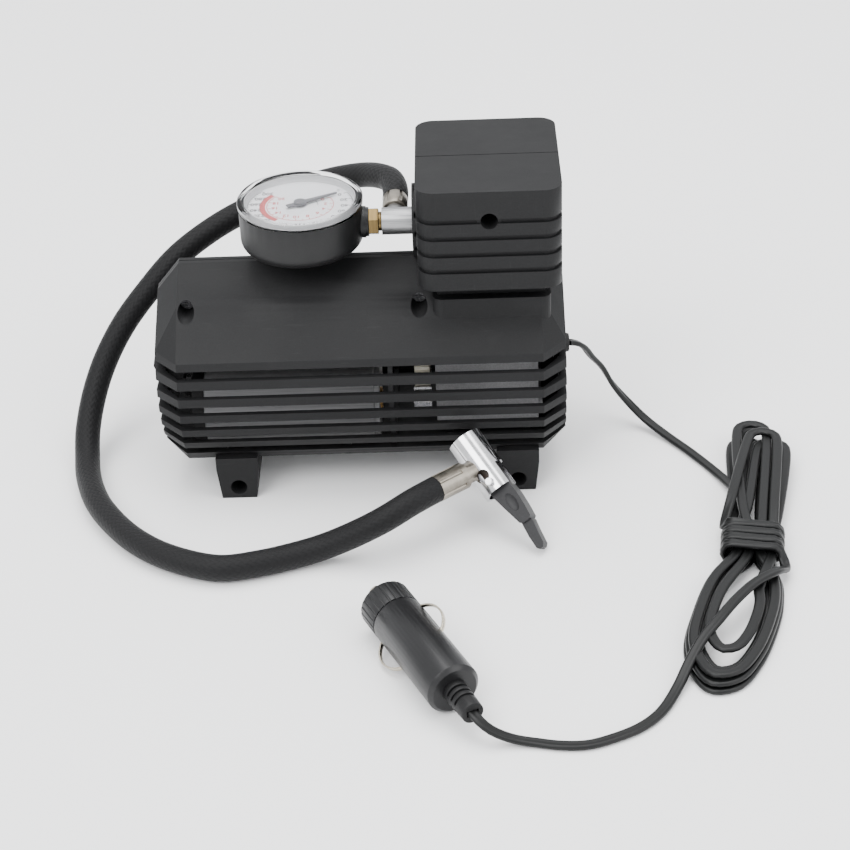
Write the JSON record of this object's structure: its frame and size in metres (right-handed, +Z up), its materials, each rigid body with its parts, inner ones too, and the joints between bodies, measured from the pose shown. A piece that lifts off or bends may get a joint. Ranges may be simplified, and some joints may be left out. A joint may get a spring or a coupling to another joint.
{
  "type": "portable tire inflator",
  "caption": "Portable 12 V tire inflator: slotted casing, dial gauge, air hose with thumb-lock chuck, rocker switch, and a cord with a car plug.",
  "frame": {"origin": "on the ground under the middle of the casing, measured without the hose, chuck, cord and plug", "axes": "+Z up, +X along the casing towards the cord's end, +Y to the back, away from the sunk screw holes"},
  "size_m": [0.308, 0.2787, 0.14],
  "materials": {
    "casing_plastic": "moulded black plastic with a fine grain",
    "screw_steel": "zinc plated",
    "motor_steel": "plain drawn steel",
    "ferrite": "sintered ferrite",
    "winding": "enamelled copper and laminated steel",
    "shaft_steel": "ground steel",
    "black_plastic": "moulded",
    "rocker_plastic": "satin",
    "bush_bronze": "sintered bronze",
    "bracket_steel": "pressed and plated",
    "brass": "turned",
    "nylon": "natural nylon",
    "cast_iron": "as cast",
    "cast_alloy": "die cast",
    "rod_alloy": "die cast, machined ends",
    "seal_ptfe": "PTFE cup",
    "tube_alloy": "drawn tube, turned ends",
    "gauge_plastic": "satin black",
    "dial_white": "printed scale",
    "lens_clear": "clear acrylic",
    "pointer_grey": "painted",
    "bourdon_bronze": "drawn bronze",
    "ferrule_nickel": "nickel plated, crimped",
    "hose_braid": "black braided sleeve",
    "chuck_chrome": "bright plated",
    "seal_rubber": "nitrile rubber",
    "lever_plastic": "moulded",
    "cord_rubber": "moulded",
    "cord_vinyl": "extruded twin cord",
    "plug_plastic": "moulded, slightly glossy",
    "contact_nickel": "nickel plated",
    "spring_steel": "spring wire",
    "fuse_glass": "cartridge with plated ends"
  },
  "bodies": {
    "housing": {"front_casing": "casing_plastic", "rear_casing": "casing_plastic", "casing_screws": "screw_steel", "motor_can": "motor_steel", "motor_magnets": "ferrite", "motor_end_cap": "black_plastic", "motor_bush": "bush_bronze", "motor_bracket": "bracket_steel", "crank_bearings": "shaft_steel", "crankcase": "cast_alloy", "crankcase_cover": "cast_alloy", "cylinder_barrel": "cast_alloy", "valve_plate": "brass", "reed_valve": "shaft_steel", "cylinder_head": "cast_alloy", "head_screws": "screw_steel", "outlet_tube": "tube_alloy", "gauge_fitting": "brass", "gauge_case": "gauge_plastic", "gauge_dial": "dial_white", "gauge_lens": "lens_clear", "gauge_movement": "brass", "bourdon_tube": "bourdon_bronze", "hose_nipple": "tube_alloy", "hose_ferrule": "ferrule_nickel", "air_hose": "hose_braid", "chuck_ferrule": "ferrule_nickel", "chuck_body": "chuck_chrome", "chuck_seal": "seal_rubber", "lever_pin": "chuck_chrome", "switch_housing": "black_plastic", "cord_gland": "cord_rubber", "cord_lead": "cord_vinyl", "cord_hank": "cord_vinyl", "cord_tail": "cord_vinyl", "plug_body": "plug_plastic", "plug_cap": "plug_plastic", "plug_spring": "spring_steel", "plug_fuse": "fuse_glass", "plug_side_contacts": "contact_nickel", "plug_strain_relief": "cord_rubber"},
    "crank": {"drive_gear": "nylon", "crankshaft": "shaft_steel", "crank_web": "cast_iron", "crank_pin": "shaft_steel"},
    "rotor": {"motor_armature": "winding", "motor_shaft": "shaft_steel", "pinion": "shaft_steel"},
    "rod": {"connecting_rod": "rod_alloy", "wrist_pin": "shaft_steel"},
    "piston": {"piston": "rod_alloy", "piston_seal": "seal_ptfe"},
    "pointer": {"gauge_pointer": "pointer_grey"},
    "rocker": {"rocker_button": "rocker_plastic"},
    "lever": {"chuck_lever": "lever_plastic"},
    "plunger": {"chuck_plunger": "brass"},
    "tip": {"plug_tip": "contact_nickel"}
  },
  "joints": [
    {"name": "gear_spin", "type": "hinge", "parent": "housing", "child": "crank", "pos_m": [0.03, 0, 0.05], "axis": [1, 0, 0], "continuous": true},
    {"name": "motor_spin", "type": "hinge", "parent": "housing", "child": "rotor", "pos_m": [0, -0.02078, 0.03702], "axis": [1, 0, 0], "continuous": true},
    {"name": "rod_turn", "type": "hinge", "parent": "crank", "child": "rod", "pos_m": [0.055, 0, 0.054], "axis": [1, 0, 0], "continuous": true},
    {"name": "piston_slide", "type": "slide", "parent": "housing", "child": "piston", "axis": [0, 0, 1], "range_m": [-0.008, 0]},
    {"name": "pointer_turn", "type": "hinge", "parent": "housing", "child": "pointer", "pos_m": [-0.023, 0, 0.119], "axis": [0, 0, 1], "range_deg": [-250, 0]},
    {"name": "rocker_tilt", "type": "hinge", "parent": "housing", "child": "rocker", "pos_m": [-0.0845, -0.01, 0.051], "axis": [0, 1, 0], "range_deg": [0, 16]},
    {"name": "lever_swing", "type": "hinge", "parent": "housing", "child": "lever", "pos_m": [0.05502, -0.06398, 0.02063], "axis": [-0.3279, -0.747, 0.5784], "range_deg": [0, 90]},
    {"name": "plunger_slide", "type": "slide", "parent": "housing", "child": "plunger", "axis": [-0.5451, 0.6496, 0.5299], "range_m": [0, 0.0024]},
    {"name": "tip_slide", "type": "slide", "parent": "housing", "child": "tip", "axis": [0.4415, -0.8973, 0], "range_m": [0, 0.002], "stiffness_N_per_m": 600, "springref_m": -0.001}
  ],
  "couplings": [
    {"joint": "motor_spin", "follows": "gear_spin", "ratio": -4.4444},
    {"joint": "rod_turn", "follows": "gear_spin", "ratio": -1},
    {"joint": "lever_swing", "follows": "plunger_slide", "rad_per_m": 654.5}
  ]
}
